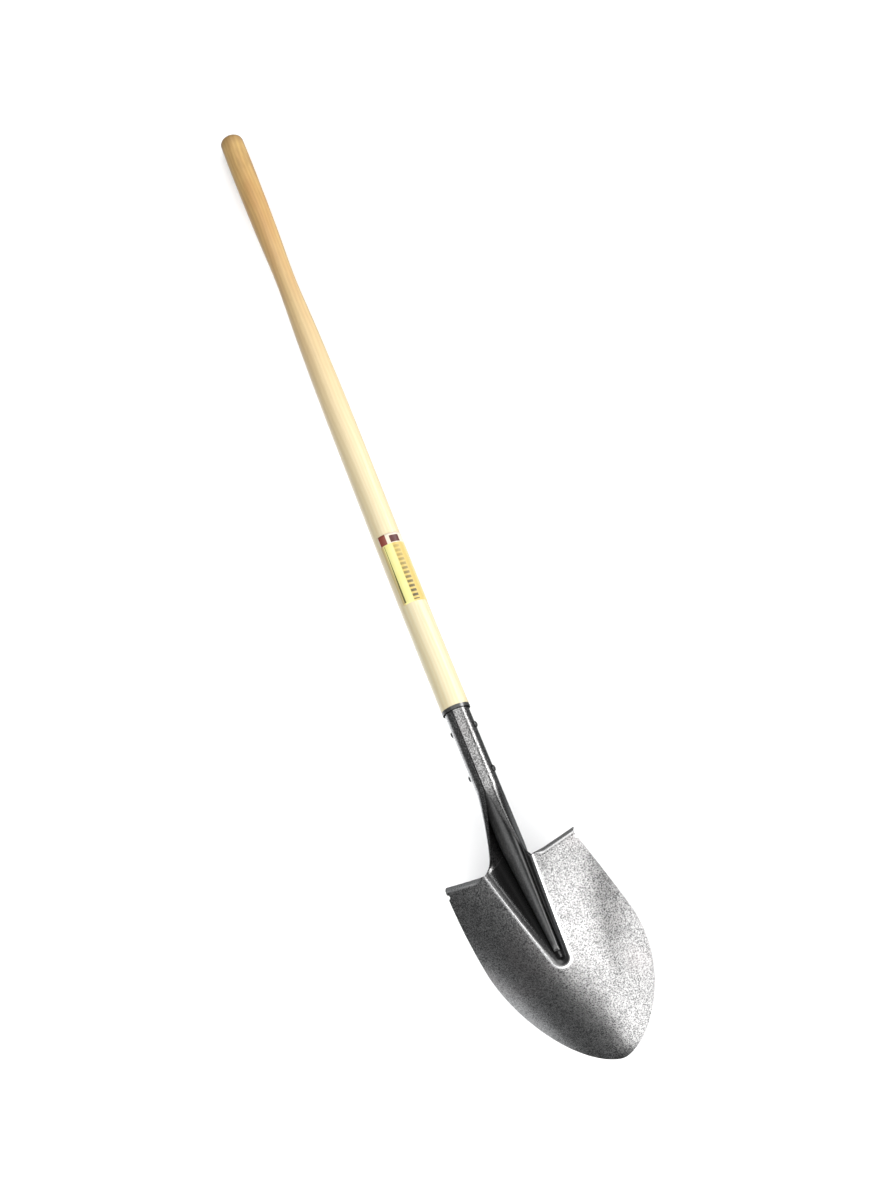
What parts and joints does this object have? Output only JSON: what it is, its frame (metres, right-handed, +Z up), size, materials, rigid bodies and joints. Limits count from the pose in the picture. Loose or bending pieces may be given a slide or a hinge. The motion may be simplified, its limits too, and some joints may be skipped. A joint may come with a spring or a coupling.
{
  "type": "round point shovel",
  "caption": "Long-handled round point shovel: dished pointed blade with turned steps, open hollow back, riveted socket and a waisted wooden handle.",
  "frame": {"origin": "on the ground, under the middle of the outline, with the shovel laid down front first", "axes": "+Y towards the grip end, +Z up, +X to the right when looking from the point to the grip end at the blade's back"},
  "size_m": [0.2102, 1.448, 0.1431],
  "materials": {
    "blade_paint": "dark grey hammered gloss enamel",
    "handle_wood": "clear lacquered ash",
    "rivet_steel": "dark, satin",
    "label_film": "printed film"
  },
  "bodies": {
    "root": {"blade": "blade_paint", "handle": "handle_wood", "upper_rivet": "rivet_steel", "lower_rivet": "rivet_steel", "label": "label_film"}
  },
  "joints": []
}
